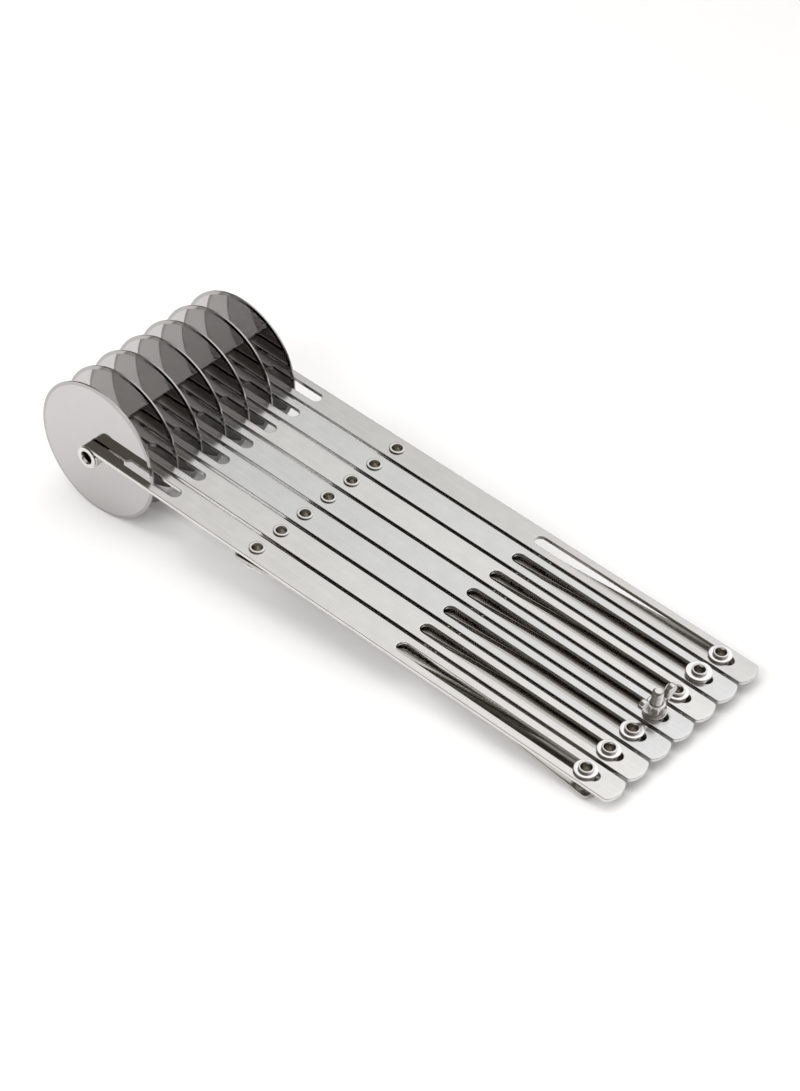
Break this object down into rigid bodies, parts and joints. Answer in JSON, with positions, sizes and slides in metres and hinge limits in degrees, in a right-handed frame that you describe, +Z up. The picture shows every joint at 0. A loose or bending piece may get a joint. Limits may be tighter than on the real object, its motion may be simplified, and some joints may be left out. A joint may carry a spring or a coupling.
{
  "type": "expandable pastry cutter",
  "caption": "Expandable pastry cutter: parallel slotted steel arms, each holding a free-turning cutting disc, joined by a riveted scissor linkage with a wing-nut clamp.",
  "frame": {"origin": "bottom centre of the closed tool, on the surface it lies on", "axes": "+X across the arms from arm_1 to arm_7, +Y from the handle ends to the cutting discs, +Z up"},
  "size_m": [0.0858, 0.2618, 0.0549],
  "materials": {
    "satin_steel": "satin stainless sheet with fine lengthwise grain",
    "link_steel": "satin stainless sheet, slightly duller",
    "mirror_steel": "mirror-polished stainless disc",
    "bright_steel": "bright turned steel"
  },
  "bodies": {
    "arm_1": {"arm_1": "satin_steel", "wheel_axle_1": "bright_steel", "pivot_rivet_1": "bright_steel"},
    "arm_2": {"arm_2": "satin_steel", "wheel_axle_2": "bright_steel", "pivot_rivet_2": "bright_steel"},
    "arm_3": {"arm_3": "satin_steel", "wheel_axle_3": "bright_steel", "pivot_rivet_3": "bright_steel"},
    "arm_4": {"arm_4": "satin_steel", "wheel_axle_4": "bright_steel", "pivot_rivet_4": "bright_steel"},
    "arm_5": {"arm_5": "satin_steel", "wheel_axle_5": "bright_steel", "pivot_rivet_5": "bright_steel"},
    "arm_6": {"arm_6": "satin_steel", "wheel_axle_6": "bright_steel", "pivot_rivet_6": "bright_steel"},
    "arm_7": {"arm_7": "satin_steel", "wheel_axle_7": "bright_steel", "pivot_rivet_7": "bright_steel"},
    "upper_link_1": {"link_a_1": "link_steel", "cross_rivet_1": "bright_steel", "slide_rivet_2": "bright_steel", "slide_washer_2": "bright_steel"},
    "lower_link_1": {"link_b_1": "link_steel", "slide_rivet_1": "bright_steel", "slide_washer_1": "bright_steel"},
    "upper_link_2": {"link_a_2": "link_steel", "cross_rivet_2": "bright_steel", "slide_rivet_3": "bright_steel", "slide_washer_3": "bright_steel"},
    "lower_link_2": {"link_b_2": "link_steel"},
    "upper_link_3": {"link_a_3": "link_steel", "cross_rivet_3": "bright_steel", "clamp_screw": "bright_steel"},
    "lower_link_3": {"link_b_3": "link_steel"},
    "upper_link_4": {"link_a_4": "link_steel", "cross_rivet_4": "bright_steel", "slide_rivet_5": "bright_steel", "slide_washer_5": "bright_steel"},
    "lower_link_4": {"link_b_4": "link_steel"},
    "upper_link_5": {"link_a_5": "link_steel", "cross_rivet_5": "bright_steel", "slide_rivet_6": "bright_steel", "slide_washer_6": "bright_steel"},
    "lower_link_5": {"link_b_5": "link_steel"},
    "upper_link_6": {"link_a_6": "link_steel", "cross_rivet_6": "bright_steel", "slide_rivet_7": "bright_steel", "slide_washer_7": "bright_steel"},
    "lower_link_6": {"link_b_6": "link_steel"},
    "wheel_1": {"cutting_wheel_1": "mirror_steel"},
    "wheel_2": {"cutting_wheel_2": "mirror_steel"},
    "wheel_3": {"cutting_wheel_3": "mirror_steel"},
    "wheel_4": {"cutting_wheel_4": "mirror_steel"},
    "wheel_5": {"cutting_wheel_5": "mirror_steel"},
    "wheel_6": {"cutting_wheel_6": "mirror_steel"},
    "wheel_7": {"cutting_wheel_7": "mirror_steel"},
    "wing_nut": {"wing_nut": "bright_steel"}
  },
  "joints": [
    {"name": "spread", "type": "hinge", "parent": "arm_4", "child": "upper_link_4", "pos_m": [0, 0.02684, 0.02339], "axis": [0, -0.112, 0.9937], "range_deg": [0, 57]},
    {"name": "cross_4", "type": "hinge", "parent": "upper_link_4", "child": "lower_link_4", "pos_m": [0.00615, -0.0445, 0.01132], "axis": [0, -0.112, 0.9937], "range_deg": [-114, 0]},
    {"name": "arm_5_pivot", "type": "hinge", "parent": "lower_link_4", "child": "arm_5", "pos_m": [0.0123, 0.02684, 0.02339], "axis": [0, -0.112, 0.9937], "range_deg": [0, 57]},
    {"name": "upper_link_5_pivot", "type": "hinge", "parent": "arm_5", "child": "upper_link_5", "pos_m": [0.0123, 0.02684, 0.02339], "axis": [0, -0.112, 0.9937], "range_deg": [0, 57]},
    {"name": "cross_5", "type": "hinge", "parent": "upper_link_5", "child": "lower_link_5", "pos_m": [0.01845, -0.0445, 0.01132], "axis": [0, -0.112, 0.9937], "range_deg": [-114, 0]},
    {"name": "arm_6_pivot", "type": "hinge", "parent": "lower_link_5", "child": "arm_6", "pos_m": [0.0246, 0.02684, 0.02339], "axis": [0, -0.112, 0.9937], "range_deg": [0, 57]},
    {"name": "upper_link_6_pivot", "type": "hinge", "parent": "arm_6", "child": "upper_link_6", "pos_m": [0.0246, 0.02684, 0.02339], "axis": [0, -0.112, 0.9937], "range_deg": [0, 57]},
    {"name": "cross_6", "type": "hinge", "parent": "upper_link_6", "child": "lower_link_6", "pos_m": [0.03075, -0.0445, 0.01132], "axis": [0, -0.112, 0.9937], "range_deg": [-114, 0]},
    {"name": "arm_7_pivot", "type": "hinge", "parent": "lower_link_6", "child": "arm_7", "pos_m": [0.0369, 0.02684, 0.02339], "axis": [0, -0.112, 0.9937], "range_deg": [0, 57]},
    {"name": "lower_link_3_pivot", "type": "hinge", "parent": "arm_4", "child": "lower_link_3", "pos_m": [0, 0.02684, 0.02339], "axis": [0, -0.112, 0.9937], "range_deg": [-57, 0]},
    {"name": "cross_3", "type": "hinge", "parent": "lower_link_3", "child": "upper_link_3", "pos_m": [-0.00615, -0.0445, 0.01132], "axis": [0, -0.112, 0.9937], "range_deg": [0, 114]},
    {"name": "arm_3_pivot", "type": "hinge", "parent": "upper_link_3", "child": "arm_3", "pos_m": [-0.0123, 0.02684, 0.02339], "axis": [0, -0.112, 0.9937], "range_deg": [-57, 0]},
    {"name": "lower_link_2_pivot", "type": "hinge", "parent": "arm_3", "child": "lower_link_2", "pos_m": [-0.0123, 0.02684, 0.02339], "axis": [0, -0.112, 0.9937], "range_deg": [-57, 0]},
    {"name": "cross_2", "type": "hinge", "parent": "lower_link_2", "child": "upper_link_2", "pos_m": [-0.01845, -0.0445, 0.01132], "axis": [0, -0.112, 0.9937], "range_deg": [0, 114]},
    {"name": "arm_2_pivot", "type": "hinge", "parent": "upper_link_2", "child": "arm_2", "pos_m": [-0.0246, 0.02684, 0.02339], "axis": [0, -0.112, 0.9937], "range_deg": [-57, 0]},
    {"name": "lower_link_1_pivot", "type": "hinge", "parent": "arm_2", "child": "lower_link_1", "pos_m": [-0.0246, 0.02684, 0.02339], "axis": [0, -0.112, 0.9937], "range_deg": [-57, 0]},
    {"name": "cross_1", "type": "hinge", "parent": "lower_link_1", "child": "upper_link_1", "pos_m": [-0.03075, -0.0445, 0.01132], "axis": [0, -0.112, 0.9937], "range_deg": [0, 114]},
    {"name": "arm_1_pivot", "type": "hinge", "parent": "upper_link_1", "child": "arm_1", "pos_m": [-0.0369, 0.02684, 0.02339], "axis": [0, -0.112, 0.9937], "range_deg": [-57, 0]},
    {"name": "wheel_1_spin", "type": "hinge", "parent": "arm_1", "child": "wheel_1", "pos_m": [-0.0369, 0.10346, 0.0275], "axis": [1, 0, 0], "continuous": true},
    {"name": "wheel_2_spin", "type": "hinge", "parent": "arm_2", "child": "wheel_2", "pos_m": [-0.0246, 0.10346, 0.0275], "axis": [1, 0, 0], "continuous": true},
    {"name": "wheel_3_spin", "type": "hinge", "parent": "arm_3", "child": "wheel_3", "pos_m": [-0.0123, 0.10346, 0.0275], "axis": [1, 0, 0], "continuous": true},
    {"name": "wheel_4_spin", "type": "hinge", "parent": "arm_4", "child": "wheel_4", "pos_m": [0, 0.10346, 0.0275], "axis": [1, 0, 0], "continuous": true},
    {"name": "wheel_5_spin", "type": "hinge", "parent": "arm_5", "child": "wheel_5", "pos_m": [0.0123, 0.10346, 0.0275], "axis": [1, 0, 0], "continuous": true},
    {"name": "wheel_6_spin", "type": "hinge", "parent": "arm_6", "child": "wheel_6", "pos_m": [0.0246, 0.10346, 0.0275], "axis": [1, 0, 0], "continuous": true},
    {"name": "wheel_7_spin", "type": "hinge", "parent": "arm_7", "child": "wheel_7", "pos_m": [0.0369, 0.10346, 0.0275], "axis": [1, 0, 0], "continuous": true},
    {"name": "wing_nut_turn", "type": "hinge", "parent": "upper_link_3", "child": "wing_nut", "pos_m": [0, -0.11707, 0.01019], "axis": [0, -0.112, 0.9937], "range_deg": [0, 540]}
  ],
  "couplings": [
    {"joint": "cross_4", "follows": "spread", "ratio": -2},
    {"joint": "arm_5_pivot", "follows": "spread", "ratio": 1},
    {"joint": "upper_link_5_pivot", "follows": "spread", "ratio": 1},
    {"joint": "cross_5", "follows": "spread", "ratio": -2},
    {"joint": "arm_6_pivot", "follows": "spread", "ratio": 1},
    {"joint": "upper_link_6_pivot", "follows": "spread", "ratio": 1},
    {"joint": "cross_6", "follows": "spread", "ratio": -2},
    {"joint": "arm_7_pivot", "follows": "spread", "ratio": 1},
    {"joint": "lower_link_3_pivot", "follows": "spread", "ratio": -1},
    {"joint": "cross_3", "follows": "spread", "ratio": 2},
    {"joint": "arm_3_pivot", "follows": "spread", "ratio": -1},
    {"joint": "lower_link_2_pivot", "follows": "spread", "ratio": -1},
    {"joint": "cross_2", "follows": "spread", "ratio": 2},
    {"joint": "arm_2_pivot", "follows": "spread", "ratio": -1},
    {"joint": "lower_link_1_pivot", "follows": "spread", "ratio": -1},
    {"joint": "cross_1", "follows": "spread", "ratio": 2},
    {"joint": "arm_1_pivot", "follows": "spread", "ratio": -1}
  ]
}
